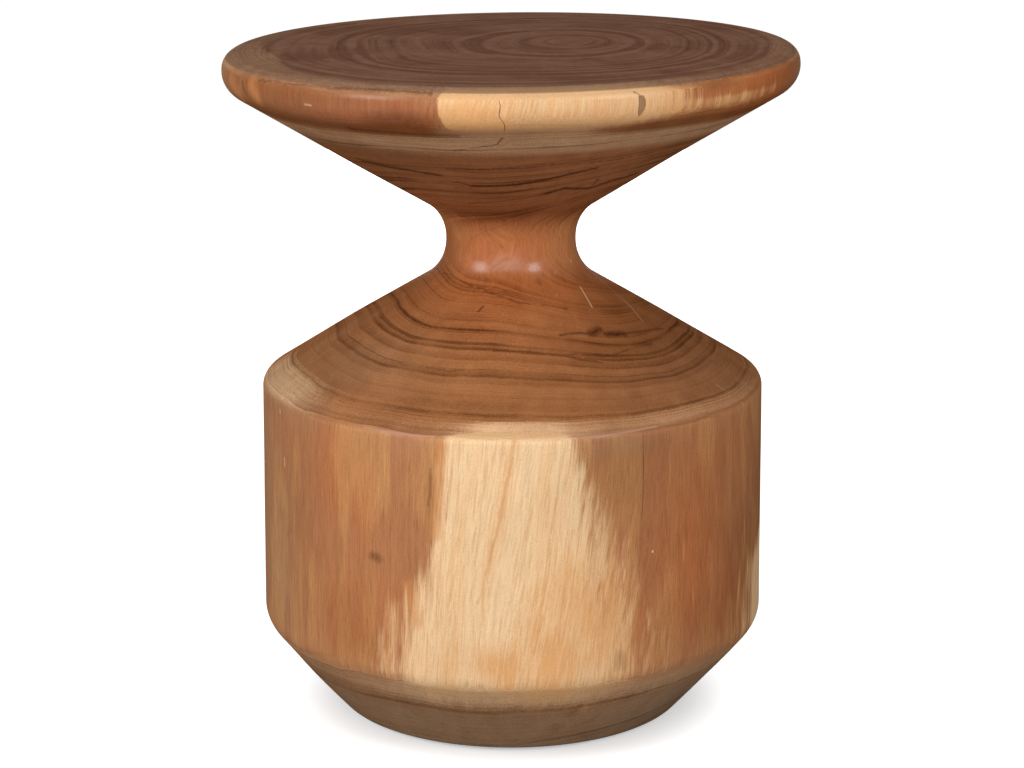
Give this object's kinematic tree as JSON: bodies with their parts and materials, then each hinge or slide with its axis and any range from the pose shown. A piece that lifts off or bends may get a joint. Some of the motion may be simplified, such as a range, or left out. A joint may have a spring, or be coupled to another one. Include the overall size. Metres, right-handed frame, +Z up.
{
  "type": "accent table",
  "caption": "Accent table turned from a solid log: a round bullnosed top on a narrow waist above a shouldered drum base, with pale sapwood and hidden rubber glides.",
  "frame": {"origin": "on the floor, under the centre of the table", "axes": "+Z up along the turned axis; -Y is the front, the side that the picture shows; +X is to its right"},
  "size_m": [0.4295, 0.4295, 0.5105],
  "materials": {
    "log_wood": "satin lacquer on heartwood and sapwood",
    "plug_wood": "satin lacquer",
    "splint_wood": "satin lacquer",
    "glide_rubber": "moulded",
    "zinc_steel": "zinc plated"
  },
  "bodies": {
    "root": {"trunk": "log_wood", "rim_plug": "plug_wood", "drum_splint": "splint_wood", "glide_pad_1": "glide_rubber", "glide_washer_1": "zinc_steel", "glide_screw_1": "zinc_steel", "glide_pad_2": "glide_rubber", "glide_washer_2": "zinc_steel", "glide_screw_2": "zinc_steel", "glide_pad_3": "glide_rubber", "glide_washer_3": "zinc_steel", "glide_screw_3": "zinc_steel", "glide_pad_4": "glide_rubber", "glide_washer_4": "zinc_steel", "glide_screw_4": "zinc_steel"}
  },
  "joints": []
}
